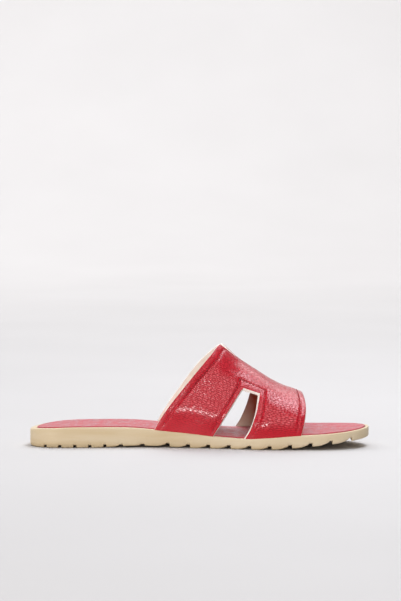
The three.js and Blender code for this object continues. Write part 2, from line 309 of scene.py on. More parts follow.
def mouldedRubber():
    look = rubberLook
    material, tree = newMaterial("moulded_beige_rubber")
    place = addNode(tree, "TexCoord").outputs["Object"]
    drawn = addNode(tree, "Mapping", {"Vector": place, "Scale": look["streak"]})
    cloud = addNode(tree, "TexNoise", {"Vector": drawn, "Scale": perMetre(look["cloud"]), "Detail": 4.0})
    blast = addNode(tree, "TexNoise", {"Vector": place, "Scale": perMetre(look["blast"]), "Detail": 2.0})
    height = addNode(tree, "SeparateXYZ", {"Vector": place}).outputs["Z"]
    # darker towards the floor: the colour slides to the near-floor tone over the sole's lowest millimetres
    nearFloorShare = addNode(tree, "MapRange", {"Value": height, 1: 0.0, 2: look["nearFloorHeight"] * mm, 3: 0.4, 4: 0.0})
    mixed = addNode(tree, "Math", {0: cloud, 1: nearFloorShare}, operation="SUBTRACT")
    tint = addNode(tree, "ValToRGB", {"Fac": mixed},
                   [(0.0, look["nearFloorTone"]), (0.36, look["deep"]), (0.68, look["pale"])])
    dull = addNode(tree, "MapRange", {"Value": blast, 1: 0.3, 2: 0.7, 3: 0.55, 4: 0.72})
    relief = addNode(tree, "Bump", {"Height": blast, "Strength": 0.25, "Distance": look["blastDepth"] * mm})
    return finishMaterial(material, {
        "Base Color": tint, "Roughness": dull, "Normal": relief, "IOR": 1.52, "Specular IOR Level": 0.35,
    })


# Sole

soleShape = {
    "stations": 150,
    "stationGap": 0.4,  # plain stations nearer than this to a corner of the tread are dropped
    "footRound": 1.4,
    "rimRound": 0.9,
    "seatRound": 0.35,
    "seatDepth": 1.2,
    "toothChamfer": 0.15,
    "faceLean": 0.15,  # draft of the upright faces, so the mould lets go
    "rampPower": 1.4,
    "recessWidth": 3.2,
    "grooves": {"first": 11.7, "pitch": 10.95, "count": 5, "width": 2.5, "depth": 1.8},
    "waist": {"first": 68.8, "pitch": 15.8, "count": 2, "land": 10.0, "rise": 0.7, "recess": 0.5},
    "teeth": {"first": 102.9, "pitch": 14.8, "count": 10, "land": 5.0, "rise": 1.6, "recess": 0.9},
}


def treadCorners():  # distance from the heel and height over the plain underside, heel to toe
    shape = soleShape
    chamfer = shape["toothChamfer"]
    lean = shape["faceLean"]
    corners = [(0.0, 0.0)]
    grooves = shape["grooves"]
    for i in range(grooves["count"]):
        middle = grooves["first"] + i * grooves["pitch"]
        for side in (-1, 1):
            wall = middle + side * grooves["width"] / 2
            steps = [(wall + side * chamfer, 0.0), (wall, chamfer), (wall - side * lean, grooves["depth"])]
            corners += steps if side < 0 else steps[::-1]
    for steps in (shape["waist"], shape["teeth"]):
        for i in range(steps["count"]):
            face = steps["first"] + i * steps["pitch"]
            start = face - steps["pitch"] + steps["land"]
            rampEnd = face - shape["recessWidth"]
            for share in (0, 0.25, 0.5, 0.75, 1):
                corners.append((lerp(start, rampEnd, share), steps["rise"] * share ** shape["rampPower"]))
            roof = steps["rise"] + steps["recess"]
            corners.append((rampEnd + steps["recess"] / 2, roof))
            corners.append((face - lean, roof))
            corners.append((face, chamfer))
            corners.append((face + chamfer, 0.0))
    return np.array(corners + [(soleLength, 0.0)])


def makeSole(material):
    shape = soleShape
    corners = treadCorners()
    cornerPlaces = corners[1:-1, 0] - halfLength
    plain = -halfLength * np.cos(np.linspace(0, math.pi, shape["stations"]))
    clear = np.min(np.abs(plain[:, None] - cornerPlaces[None, :]), axis=1) > shape["stationGap"]
    stations = np.sort(np.concatenate([plain[clear], cornerPlaces]))
    angles = stationAngles(stations)

    def treadAt(x):
        return liftAt(x) + np.interp(x + halfLength, corners[:, 0], corners[:, 1])

    rings = []
    footTurns = np.radians([0, 30, 60, 90])
    for turn in footTurns:
        inset = shape["footRound"] * (1 - math.sin(turn))
        raised = shape["footRound"] * (1 - math.cos(turn))
        rings.append((inset, treadAt, raised))
    for turn in np.radians([0, 22.5, 45, 67.5, 90]):
        inset = shape["rimRound"] * (1 - math.cos(turn))
        raised = shape["rimRound"] * (math.sin(turn) - 1)
        rings.append((inset, rimAt, raised))
    points = [outlineRing(angles, lambda x: inset + 0 * x, lambda x: heightAt(x) + raised)
              for inset, heightAt, raised in rings]
    for inset, raised in ((-1, 0), (-0.3, -0.3), (0, -1)):
        points.append(outlineRing(
            angles,
            lambda x: rimWidthAt(x) + inset * shape["seatRound"],
            lambda x: rimAt(x) + raised * shape["seatRound"],
        ))
    points.append(outlineRing(angles, rimWidthAt, lambda x: rimAt(x) - shape["seatDepth"]))
    # a station keeps its tread height on every ring of the wall's foot, so faces stay upright
    for ring in points[:len(footTurns)]:
        ring[:, 2] += treadAt(-halfLength * np.cos(angles)) - treadAt(ring[:, 0])
    points, faces = closeStack(points)
    sole = addMesh("sole_moulded", points, faces, [material], sharpAngle=28.0)
    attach(sole, "root")
    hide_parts("unit_sole")


makeSole(mouldedRubber())


# Smooth sheepskin over a thin board, dyed red with a wax finish: satin, slightly clouded, with fine
# creases pressed in by the board, bright at a low angle

sockLook = {
    "red": "#a82434",
    "deep": "#991e2d",
    "worn": "#b53543",
    "cloud": 5.0,
    "cloudStretch": (1.0, 0.4, 1.0),
    "wrinkle": 3.2,  # length of the fine creases
    "wrinkleStretch": (0.45, 1.0, 1.0),
    "wrinkleDepth": 1.2,
    "pore": 0.8,  # hair pores, drawn about three times too coarse so that they show
    "poreDepth": 0.08,
}


def smoothSheepskin():
    look = sockLook
    material, tree = newMaterial("smooth_red_sheepskin")
    place = addNode(tree, "TexCoord").outputs["Object"]
    drawn = addNode(tree, "Mapping", {"Vector": place, "Scale": look["cloudStretch"]})
    cloud = addNode(tree, "TexNoise", {"Vector": drawn, "Scale": perMetre(look["cloud"]), "Detail": 4.0})
    stretched = addNode(tree, "Mapping", {"Vector": place, "Scale": look["wrinkleStretch"]})
    wrinkle = addNode(tree, "TexNoise", {
        "Vector": stretched, "Scale": perMetre(look["wrinkle"]), "Detail": 3.0, "Distortion": 0.6,
    })
    pore = addNode(tree, "TexVoronoi", {"Vector": place, "Scale": perMetre(look["pore"])})
    tint = addNode(tree, "ValToRGB", {"Fac": cloud},
                   [(0.32, look["deep"]), (0.5, look["red"]), (0.68, look["worn"])])
    satin = addNode(tree, "MapRange", {"Value": cloud, 1: 0.3, 2: 0.7, 3: 0.3, 4: 0.6})
    poreRelief = addNode(tree, "Bump", {"Height": pore, "Strength": 0.2, "Distance": look["poreDepth"] * mm})
    relief = addNode(tree, "Bump", {
        "Height": wrinkle, "Strength": 1.0, "Distance": look["wrinkleDepth"] * mm, "Normal": poreRelief,
    })
    return finishMaterial(material, {
        "Base Color": tint, "Roughness": satin, "Normal": relief, "IOR": 1.5,
        "Sheen Weight": 0.1, "Sheen Roughness": 0.4,
    })


# Insole

insoleShape = {
    "stations": 120,
    "across": 30,
    "proud": 0.7,
    "edgeRound": 0.5,
    "heelDent": {"x": -92.0, "y": 1.0, "length": 26.0, "width": 17.0, "depth": 0.45},
    "ballDent": {"x": 44.0, "y": -4.0, "length": 26.0, "width": 24.0, "depth": 0.4},
    "waves": [(31.0, 17.0, 0.10), (19.0, 26.0, 0.07), (12.0, 40.0, 0.05)],  # lengths and height of ripples
    "flatEdge": (4.0, 11.0),  # distances from the outline over which dents and ripples set in
}


def insoleRelief(x, y):
    shape = insoleShape
    relief = 0.0
    for dent in (shape["heelDent"], shape["ballDent"]):
        away = ((x - dent["x"]) / dent["length"]) ** 2 + ((y - dent["y"]) / dent["width"]) ** 2
        relief -= dent["depth"] * math.exp(-away)
    for i, (along, across, height) in enumerate(shape["waves"]):
        wave = math.sin(x / along * 2 * math.pi + i)
        relief += height * wave * math.cos(y / across * 2 * math.pi + 2 * i)
    edge = min(abs(soleEdge(x, -1) - y), abs(soleEdge(x, 1) - y))
    return relief * float(smoothstep(edge, *shape["flatEdge"]))


def makeInsole(material):
    shape = insoleShape
    seam = lastShape["seam"]
    stations = -halfLength * np.cos(np.linspace(0, math.pi, shape["stations"]))
    angles = stationAngles(stations)
    rings = [(0.0, lambda x: rimAt(x) - soleShape["seatDepth"] + seam)]
    for turn in np.radians([0, 30, 60, 90]):
        drop = shape["edgeRound"] * (1 - math.sin(turn))
        rings.append((shape["edgeRound"] * (1 - math.cos(turn)),
                      lambda x, drop=drop: rimAt(x) + shape["proud"] - drop))
    points = [outlineRing(angles, lambda x: rimWidthAt(x) + seam + inset, heightAt)
              for inset, heightAt in rings]
    points, faces = closeStack(points, shape["across"], insoleRelief)
    sock = addMesh("insole_sock", points, faces, [material], sharpAngle=60.0)
    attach(sock, "root")
    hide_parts("insole")


makeInsole(smoothSheepskin())


# Band of the upper: an arch over the sole, cut along four edges with a row of stitches beside each

bandShape = {
    "wall": 2.6,
    "archX": [-45, -20, 0, 16, 22, 28, 36, 44, 54, 64, 72, 84],
    "ridge": [112.8, 100.8, 88.5, 75.8, 69.9, 64.4, 58.7, 53.7, 47.5, 42.7, 40.1, 36.6],
    "lean": [-3, -3.5, -4, -4, -4, -4, -4, -3.5, -3, -2.5, -2, -2],
    "fullness": [1, 1, 1, 1, 1, 1, 0.99, 0.97, 0.94, 0.91, 0.89, 0.87],
    # girth 0 is the sole, 1 the ridge; above the cut-out its two edges only guide the mesh
    "girth": [0, 0.06, 0.12, 0.24, 0.36, 0.47, 0.6, 0.75, 0.86, 1],
    "collar": [-33, -28.1, -22.8, -12.3, -3.5, 3, 8.8, 13, 15.3, 16.4],
    "cutRear": [10.1, 14, 17.4, 23.2, 28, 31.7, 34.2, 38.2, 42, 47],
    "cutFront": [32.4, 35.6, 37.6, 40.4, 42, 43.2, 44.4, 47.8, 51.5, 57],
    "toe": [74, 74.9, 75.6, 76.6, 77.3, 77.6, 77.5, 77, 76.6, 76.2],
    "lateralShift": {  # of the outer side's edges, at the sole and at the ridge
        "collar": (1.2, 1.2), "cutRear": (-3.0, 0.0), "cutFront": (-5.5, 0.0), "toe": (-4.0, 0.0),
    },
    "outerSag": {"depth": 2.2, "girth": 0.4, "reach": 0.26},  # the outer collar sags back below its corner
    "collarCorner": 0.86,
    "notchBottom": 29.0,
    "cutTop": (0.462, 0.484),  # girth of the cut-out's top, rear and front
    # rows of stitches, as distances along the foot from the edge they follow
    "collarStitch": (4.6, 3.6),
    "stitchNarrows": 0.6,
    "stitchCorner": 0.834,
    "stitchFoot": 0.03,
    "notchStitch": 5.75,
    "cutRearStitch": (2.8, 3.9),
    "cutFrontStitch": (5.2, 4.4),
    "toeStitch": 4.2,
    "stitchTop": (0.564, 0.576),
    # relief of the sewn leather
    "grooveDepth": 0.34,
    "grooveWidth": 0.75,
    "panelPuff": 0.55,
    "panelRise": 1.5,
    "panelFade": 16.0,
    "flangeRise": 0.06,
    "flangeDrop": 0.25,
    "flangeReach": 4.4,
    "edgeDrop": 0.25,
    "edgeReach": 0.5,
    # the band stands upright up to a bend and leans in above it, most in the drawn-in rear panel
    "bend": {"rear": 18.0, "front": 10.0, "along": (-10.0, 60.0), "height": 1.0, "width": 6.0},
    "hollow": {"height": 38.0, "along": (20.0, 40.0), "depth": 1.2, "width": 13.0, "fromEdge": 8.0},
    "lastedFlat": (-0.01, 0.09),  # girths over which relief sets in above the sole
    "footSink": {"leather": 0.45, "lining": 0.315, "girth": 0.02},  # closes the cemented seam on the rim
    "edgeBulge": 0.12,
    "edgeSteps": (0.3, 0.7),
    "cutRound": 0.4,  # how far the cut-out's corners are drawn in
    "cornerFlare": {"height": 0.6, "reach": 12.0},  # the collar's outer corner stands off the foot
    "leatherBack": 0.7,  # the raw edge is skived: the leather ends short of the pattern's line
    "liningOut": 0.4,  # and the lining runs past it, so the pale core shows from outside
    # how much of both each edge takes
    "trimShare": {"collar": 0.15, "cutRear": 0.25, "cutFront": 1.2, "toe": 0.3},
}
# creases, listed one by one: side, then start and end as distance along the foot and girth, width and depth;
# a negative depth is a ridge
bandCreases = [
    (-1, (-18.6, 0.165), (-15.0, 0.175), 1.1, 0.28),
    (-1, (-16.4, 0.190), (-12.6, 0.198), 1.0, 0.30),
    (-1, (-14.2, 0.218), (-10.4, 0.222), 1.1, 0.24),
    (-1, (71.0, 0.150), (74.6, 0.165), 0.9, 0.26),
    (-1, (71.4, 0.195), (75.4, 0.205), 1.0, 0.32),
    (-1, (71.9, 0.240), (75.6, 0.245), 1.0, 0.24),
    (-1, (72.4, 0.140), (73.4, 0.270), 1.2, -0.40),
    (-1, (13.2, 0.085), (15.0, 0.100), 1.1, 0.24),
    (-1, (15.2, 0.125), (17.0, 0.135), 1.0, 0.22),
    (-1, (47.0, 0.190), (53.0, 0.165), 3.2, -0.35),
    (-1, (52.0, 0.400), (70.0, 0.370), 5.0, -0.30),
    (1, (-17.0, 0.175), (-13.4, 0.185), 1.1, 0.28),
    (1, (-14.6, 0.205), (-10.8, 0.212), 1.0, 0.26),
    (1, (67.6, 0.160), (71.4, 0.172), 0.9, 0.28),
    (1, (68.2, 0.210), (72.2, 0.220), 1.0, 0.26),
    (1, (11.0, 0.100), (12.8, 0.112), 1.1, 0.24),
    (1, (44.0, 0.200), (50.0, 0.180), 3.2, -0.35),
    (1, (50.0, 0.390), (68.0, 0.360), 5.0, -0.30),
]
ridgeAt = curveThrough(bandShape["archX"], bandShape["ridge"])
leanAt = curveThrough(bandShape["archX"], bandShape["lean"])
fullnessAt = curveThrough(bandShape["archX"], bandShape["fullness"])
edgeNames = ("collar", "cutRear", "cutFront", "toe")
edgeCurves = {name: curveThrough(bandShape["girth"], bandShape[name]) for name in edgeNames}


def archPoint(x, girth, side):
    inner = soleEdge(x, -1) + lastShape["seam"]
    outer = soleEdge(x, 1) - lastShape["seam"]
    foot = rimAt(x) + lastShape["seam"]
    across = np.cos(girth * math.pi / 2) ** fullnessAt(x)
    up = np.sin(girth * math.pi / 2) ** fullnessAt(x)
    y = (inner + outer) / 2 + side * across * (outer - inner) / 2 + leanAt(x) * up * up
    return np.stack([x, y, foot + (ridgeAt(x) - foot) * up], -1)


def archNormal(x, girth, side):
    step, turn = 1.0, 0.01
    along = archPoint(x + step, girth, side) - archPoint(x - step, girth, side)
    above = archPoint(x, np.minimum(girth + turn, 1), side)
    around = above - archPoint(x, np.maximum(girth - turn, 0), side)
    return unit(np.cross(around, along) * np.asarray(side)[..., None])


def notchLine(girth, side):
    corner = bandShape["collarCorner"]
    start = edgeLine("collar", np.full_like(girth, corner), side)
    return lerp(start, bandShape["notchBottom"], (girth - corner) / (1 - corner))


def edgeLine(name, girth, side):  # place along the foot of one of the band's edges
    atSole, atRidge = bandShape["lateralShift"][name]
    place = edgeCurves[name](girth) + np.where(side > 0, lerp(atSole, atRidge, girth), 0)
    if name == "collar":
        sag = bandShape["outerSag"]
        back = sag["depth"] * bump(girth - sag["girth"], sag["reach"])
        place = place - np.where(side > 0, back, 0)
    if name == "collar" and np.any(girth > bandShape["collarCorner"]):
        place = np.where(girth > bandShape["collarCorner"], notchLine(girth, side), place)
    return place


def stitchLine(name, girth, side):  # place along the foot of the stitches beside an edge
    shape = bandShape
    edge = edgeLine(name, girth, side)
    if name == "collar":
        low, high = shape["collarStitch"]
        corner = shape["stitchCorner"]
        beside = edge + lerp(low, high, smoothstep(girth, shape["stitchNarrows"], corner))
        return np.where(girth > corner, notchLine(girth, side) + shape["notchStitch"], beside)
    if name == "toe":
        return edge - shape["toeStitch"]
    low, high = shape[name + "Stitch"]
    away = lerp(low, high, np.clip(girth / shape["stitchTop"][0], 0, 1))
    return edge - away if name == "cutRear" else edge + away


bandLines = {}
for lineName in edgeNames:
    bandLines[lineName] = lambda girth, side, name=lineName: edgeLine(name, girth, side)
    bandLines[lineName + "Stitch"] = lambda girth, side, name=lineName: stitchLine(name, girth, side)

flangeShares = [0, 0.07, 0.2, 0.4, 0.58, 0.72, 0.84, 0.93]  # steps of the mesh from an edge to its stitches
panelSteps = [0, 0.3, 0.65, 1.1, 1.7, 2.5, 3.5]  # and from the stitches into the panel, in millimetres
bandMesh = {
    "rear": 18, "cut": 9, "front": 13,  # columns from heel to toe
    "low": 30, "underCut": (0.6, 0.88), "shoulder": 18, "notch": 9,  # rows from the sole to the ridge
}
girthPerMm = 1 / 72.0  # the band is about 72 mm from the sole to the ridge


def bandColumns(trim):  # each column lies between two lines, at a share, with an offset from each
    columns = []

    def flange(edge, stitch, outward):
        trimmed = outward * trim * bandShape["trimShare"][edge]
        steps = [(edge, trimmed, stitch, 0, share) for share in flangeShares]
        steps += [(stitch, outward * step, stitch, outward * step, 0) for step in panelSteps]
        return steps if outward > 0 else steps[::-1]

    def between(start, startStep, end, endStep, count):
        return [(start, startStep, end, endStep, i / count) for i in range(1, count)]

    reach = panelSteps[-1]
    columns += flange("collar", "collarStitch", 1)
    columns += between("collarStitch", reach, "cutRearStitch", -reach, bandMesh["rear"])
    columns += flange("cutRear", "cutRearStitch", -1)
    rearTrim, frontTrim = (trim * bandShape["trimShare"][name] for name in ("cutRear", "cutFront"))
    columns += between("cutRear", -rearTrim, "cutFront", frontTrim, bandMesh["cut"])
    columns += flange("cutFront", "cutFrontStitch", 1)
    columns += between("cutFrontStitch", reach, "toeStitch", -reach, bandMesh["front"])
    columns += flange("toe", "toeStitch", -1)
    return columns


def bandGrid(trim):  # place, girth and side of every point, rows from the sole over the ridge to the sole
    shape = bandShape
    columns = bandColumns(trim)
    share = []
    for first, _, second, _, step in columns:
        if first == "cutRear" and second == "cutFront":
            share.append(step)
        else:
            share.append(0.0 if first.startswith(("collar", "cutRear")) else 1.0)
    share = np.array(share)
    cutTop = lerp(shape["cutTop"][0], shape["cutTop"][1], share) + trim * girthPerMm
    stitchTop = lerp(shape["stitchTop"][0], shape["stitchTop"][1], share)
    corner = np.full_like(share, shape["collarCorner"])
    half = []
    for i in range(bandMesh["low"]):
        half.append(cutTop * (i / bandMesh["low"]))
    start = half[-1]
    half += [lerp(start, cutTop, step) for step in bandMesh["underCut"]]
    half += [lerp(cutTop, stitchTop, step) for step in flangeShares]
    half += [stitchTop + step * girthPerMm for step in panelSteps]
    start = half[-1]
    half += [lerp(start, corner, i / bandMesh["shoulder"]) for i in range(1, bandMesh["shoulder"])]
    half += [lerp(corner, 1, i / bandMesh["notch"]) for i in range(bandMesh["notch"])]
    cutRows = bandMesh["low"] + len(bandMesh["underCut"])
    girth = np.array(half + [np.ones_like(share)] + half[::-1])
    side = np.ones(len(girth))
    side[:len(half)] = -1
    side = np.repeat(side[:, None], len(columns), 1)
    place = np.empty_like(girth)
    for i, (first, firstStep, second, secondStep, step) in enumerate(columns):
        start = bandLines[first](girth[:, i], side[:, i]) + firstStep
        end = bandLines[second](girth[:, i], side[:, i]) + secondStep
        place[:, i] = lerp(start, end, step)
    # round the corners of the cut-outs
    pull = shape["cutRound"]
    for foot in (-1.0, 1.0):
        for name, i, forward in (("cutRear", 0, 1), ("cutFront", 1, -1)):
            top = np.array([shape["cutTop"][i]])
            corner = bandLines[name](top, np.array([foot]))[0]
            away = np.hypot(place - corner, (girth - top) / girthPerMm)
            share = np.where(side == foot, bump(away, 2 * pull), 0)
            place = place + forward * pull * share
            girth = girth - pull * girthPerMm * share
    names = [(first, second) for first, _, second, _, _ in columns]
    cutStart = len(names) - 1 - names[::-1].index(("cutRear", "cutRearStitch"))
    cutEnd = names.index(("cutFront", "cutFrontStitch"))
    keep = np.ones((len(girth) - 1, len(columns) - 1), bool)
    keep[:cutRows, cutStart:cutEnd] = False
    keep[-cutRows:, cutStart:cutEnd] = False
    return place, girth, side, keep


def pathOnBand(corners, side, spacing):  # even points along straight runs in place and girth
    fine = 400  # points of a run before they are spaced evenly
    runs = []
    for start, end in zip(corners[:-1], corners[1:]):
        runs.append(np.linspace(start, end, fine, endpoint=False))
    chain = np.concatenate(runs + [np.array(corners[-1:])])
    points = archPoint(chain[:, 0], chain[:, 1], np.full(len(chain), side))
    length = np.concatenate([[0], np.cumsum(np.linalg.norm(np.diff(points, axis=0), axis=1))])
    even = np.arange(spacing / 2, length[-1], spacing)
    return np.stack([np.interp(even, length, chain[:, k]) for k in (0, 1)], -1)


def linePath(name, low, high, side):  # corners of a path that follows a line between two girths
    steps = 60
    girth = np.linspace(low, high, steps)
    place = bandLines[name](girth, np.full_like(girth, side))
    return list(zip(place, girth))


def sidePaths(paths):  # a side and corners for each path; a path is one run or two along lines of the band
    found = []
    for side in (-1, 1):
        for runs in paths:
            found.append((side, [corner for run in runs for corner in linePath(*run, side)]))
    return found


def stitchPaths():  # the notch and the toe are sewn over the ridge
    rear, front = bandShape["stitchTop"]
    foot = bandShape["stitchFoot"]
    corner = bandShape["stitchCorner"]
    pastCorner = corner + 0.0005
    return sidePaths([
        [("collarStitch", foot, corner), ("collarStitch", pastCorner, 1)],
        [("cutRearStitch", foot, rear), ("cutFrontStitch", front, foot)],
        [("toeStitch", foot, 1)],
    ])


def edgePaths():
    rear, front = bandShape["cutTop"]
    return sidePaths([[("collar", 0, 1)], [("cutRear", 0, rear), ("cutFront", front, 0)], [("toe", 0, 1)]])


def nearestTo(points, paths, spacing):  # distance of every point from the nearest of the paths
    marks = []
    for side, corners in paths:
        chain = pathOnBand(corners, side, spacing)
        marks.append(archPoint(chain[:, 0], chain[:, 1], np.full(len(chain), side)))
    marks = np.concatenate(marks)
    flat = points.reshape(-1, 3)
    nearest = np.empty(len(flat))
    block = 2000  # points at a time
    for start in range(0, len(flat), block):
        gap = np.linalg.norm(flat[start:start + block, None, :] - marks[None, :, :], axis=2)
        nearest[start:start + block] = gap.min(axis=1)
    return nearest.reshape(points.shape[:-1])


def isFlange(place, girth, side):  # between an edge and its row of stitches
    shape = bandShape
    rear = stitchLine("cutRear", girth, side)
    front = stitchLine("cutFront", girth, side)
    across = np.clip((place - rear) / (front - rear), 0, 1)
    underTop = girth < lerp(shape["stitchTop"][0], shape["stitchTop"][1], across)
    beside = (place < stitchLine("collar", girth, side)) | (place > stitchLine("toe", girth, side))
    return beside | ((place > rear) & (place < front) & underTop)


def creaseRelief(points, side):
    relief = np.zeros(points.shape[:-1])
    for creaseSide, start, end, width, depth in bandCreases:
        ends = archPoint(np.array([start[0], end[0]]), np.array([start[1], end[1]]), np.full(2, creaseSide))
        run = ends[1] - ends[0]
        share = np.clip(((points - ends[0]) @ run) / (run @ run), 0, 1)
        away = np.linalg.norm(points - ends[0] - share[..., None] * run, axis=-1)
        relief -= np.where(side == creaseSide, depth * bump(away, width), 0)
    return relief


def bandRelief(points, place, girth, side):  # how far the leather stands off the plain arch
    shape = bandShape
    spacing = 0.2
    stitch = nearestTo(points, stitchPaths(), spacing)
    edge = nearestTo(points, edgePaths(), spacing)
    flange = isFlange(place, girth, side)
    puff = shape["panelPuff"] * (1 - np.exp(-stitch / shape["panelRise"]))
    puff = puff * np.exp(-stitch / shape["panelFade"])
    slope = np.clip(1 - edge / shape["flangeReach"], 0, 1)
    relief = np.where(flange, shape["flangeRise"] - shape["flangeDrop"] * slope, puff)
    relief -= shape["grooveDepth"] * bump(stitch, shape["grooveWidth"])
    relief -= shape["edgeDrop"] * bump(edge, shape["edgeReach"])
    bend = shape["bend"]
    bendAt = lerp(bend["rear"], bend["front"], smoothstep(place, *bend["along"]))
    overRim = points[..., 2] - rimAt(place)
    relief += bend["height"] * bump(overRim - bendAt, bend["width"])
    hollow = shape["hollow"]
    inPanel = smoothstep(edge, 0.0, hollow["fromEdge"]) * (1 - smoothstep(place, *hollow["along"]))
    relief -= hollow["depth"] * bump(overRim - hollow["height"], hollow["width"]) * inPanel
    relief = relief + creaseRelief(points, side)
    return relief * smoothstep(girth, *shape["lastedFlat"]), flange


def cornerFlare(points, side):
    flare = bandShape["cornerFlare"]
    girth = np.array([bandShape["collarCorner"]])
    outerSide = np.ones(1)
    corner = archPoint(edgeLine("collar", girth, outerSide), girth, outerSide)[0]
    away = np.linalg.norm(points - corner, axis=-1)
    return np.where(side > 0, flare["height"] * bump(away, flare["reach"]), 0)


def shellFaces(keep, count, columns):  # outer and inner faces, and the free edges of the kept cells
    rows = len(keep)
    at = np.arange(count).reshape(-1, columns)
    outer = []
    inner = []
    rims = []
    for row in range(rows):
        for column in range(columns - 1):
            if not keep[row, column]:
                continue
            ring = (at[row, column], at[row, column + 1], at[row + 1, column + 1], at[row + 1, column])
            ring = tuple(int(i) for i in ring)
            outer.append(ring)
            inner.append(tuple(i + count for i in ring[::-1]))
            neighbours = ((row - 1, column), (row, column + 1), (row + 1, column), (row, column - 1))
            for i, (nextRow, nextColumn) in enumerate(neighbours):
                inside = 0 <= nextRow < rows and 0 <= nextColumn < columns - 1
                if not (inside and keep[nextRow, nextColumn]):
                    rims.append((ring[i], ring[(i + 1) % 4]))
    return outer, inner, rims


hideMap = {
    "middle": 30.0,  # place along the foot where lengths start
    "halfGirth": 75.0,
    "steps": 40,
    "ridgeShare": 0.65,  # weight of lengths from the ridge, low on the band
    "ridgeAlone": (0.4, 1.0),  # girths over which that grows to all
}


def hideChart(place, girth, side):  # lengths over the leather: along the foot, and around it from the ridge
    steps = hideMap["steps"]
    middle = hideMap["middle"]
    along = np.zeros_like(place)
    fromSole = np.zeros_like(place)
    fromRidge = np.zeros_like(place)
    for i in range(steps):
        near, far = i / steps, (i + 1) / steps
        start = archPoint(lerp(middle, place, near), girth, side)
        along += np.linalg.norm(archPoint(lerp(middle, place, far), girth, side) - start, axis=-1)
        start = archPoint(place, girth * near, side)
        fromSole += np.linalg.norm(archPoint(place, girth * far, side) - start, axis=-1)
        start = archPoint(place, lerp(1, girth, near), side)
        fromRidge += np.linalg.norm(archPoint(place, lerp(1, girth, far), side) - start, axis=-1)
    weight = lerp(hideMap["ridgeShare"], 1.0, smoothstep(girth, *hideMap["ridgeAlone"]))
    around = lerp(hideMap["halfGirth"] - fromSole, fromRidge, weight)
    return np.stack([along * np.sign(place - middle), around * side, np.zeros_like(along)], -1)


bandFinish = {  # shares of grain and clear coat where the leather is stretched over the sole's edge
    "grain": {"low": 0.25, "girth": (0.02, 0.14), "flange": 0.8},
    "seal": {"low": 0.05, "girth": (0.055, 0.14)},
    "collarSeal": {"high": 0.4, "girth": (0.2, 0.3)},
}


def makeBand(leather, lining, cutEdge):
    shape = bandShape
    place, girth, side, keep = bandGrid(shape["leatherBack"])
    base = archPoint(place, girth, side)
    normal = archNormal(place, girth, side)
    relief, flange = bandRelief(base, place, girth, side)
    outer = base + normal * relief[..., None]
    liningPlace, liningGirth, _, _ = bandGrid(-shape["liningOut"])
    liningNormal = archNormal(liningPlace, liningGirth, side)
    inner = archPoint(liningPlace, liningGirth, side) - liningNormal * shape["wall"]
    flare = cornerFlare(base, side)[..., None] * normal
    outer = outer + flare
    inner = inner + flare
    sink = shape["footSink"]
    outer[..., 2] -= sink["leather"] * bump(girth, sink["girth"])
    inner[..., 2] -= sink["lining"] * bump(girth, sink["girth"])
    count = place.size
    columns = place.shape[1]
    outerFaces, innerFaces, rims = shellFaces(keep, count, columns)
    points = np.concatenate([outer.reshape(-1, 3), inner.reshape(-1, 3)])
    # the raw edge bulges a little between the leather and the lining
    outward = np.zeros((count, 3))
    flatNormal = normal.reshape(-1, 3)
    for start, end in rims:
        aside = np.cross(points[end] - points[start], flatNormal[start])
        aside = aside / max(np.linalg.norm(aside), 1e-9)
        outward[start] += aside
        outward[end] += aside
    lip = np.array(sorted({i for pair in rims for i in pair}))
    reach = np.linalg.norm(outward[lip], axis=1, keepdims=True)
    aside = outward[lip] / np.maximum(reach, 1e-9)
    layers = []
    for depth in shape["edgeSteps"]:
        bulge = shape["edgeBulge"] * math.sin(depth * math.pi)
        layers.append({int(i): len(points) + k for k, i in enumerate(lip)})
        points = np.concatenate([points, lerp(points[lip], points[lip + count], depth) + aside * bulge])
    rimFaces = []
    for start, end in rims:
        ladder = [(start, end)] + [(layer[start], layer[end]) for layer in layers]
        ladder.append((start + count, end + count))
        for near, far in zip(ladder[:-1], ladder[1:]):
            rimFaces.append((near[1], near[0], far[0], far[1]))
    faces = outerFaces + innerFaces + rimFaces
    slots = [0] * len(outerFaces) + [1] * len(innerFaces) + [2] * len(rimFaces)
    used = np.zeros(len(points), int)
    used[np.unique([i for face in faces for i in face])] = 1
    renumber = np.cumsum(used) - 1
    faces = [tuple(int(renumber[i]) for i in face) for face in faces]
    band = addMesh("upper_band", points[used > 0], faces, [leather, lining, cutEdge], slots, sharpAngle=50.0)
    # places on the hide in millimetres, so that the grain runs along the foot without stretching
    source = np.concatenate([np.arange(count), np.arange(count), np.tile(lip, len(layers))])[used > 0]
    hide = hideChart(place, girth, side).reshape(-1, 3)
    hideLayer = band.data.attributes.new("hideMm", "FLOAT_VECTOR", "POINT")
    hideLayer.data.foreach_set("vector", hide[source].astype(np.float32).ravel())
    finish = bandFinish["grain"]
    grain = lerp(finish["low"], 1, smoothstep(girth, *finish["girth"]))
    grain = grain * np.where(flange, finish["flange"], 1.0)
    finish = bandFinish["seal"]
    seal = lerp(finish["low"], 1, smoothstep(girth, *finish["girth"]))
    finish = bandFinish["collarSeal"]
    collarSeal = lerp(1, finish["high"], smoothstep(girth, *finish["girth"]))
    seal = seal * np.where(place < stitchLine("collar", girth, side), collarSeal, 1.0)
    for name, values in (("grainShare", grain), ("sealShare", seal)):
        layer = band.data.attributes.new(name, "FLOAT", "POINT")
        layer.data.foreach_set("value", values.reshape(-1)[source].astype(np.float32))
    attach(band, "root")
    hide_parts("upper")
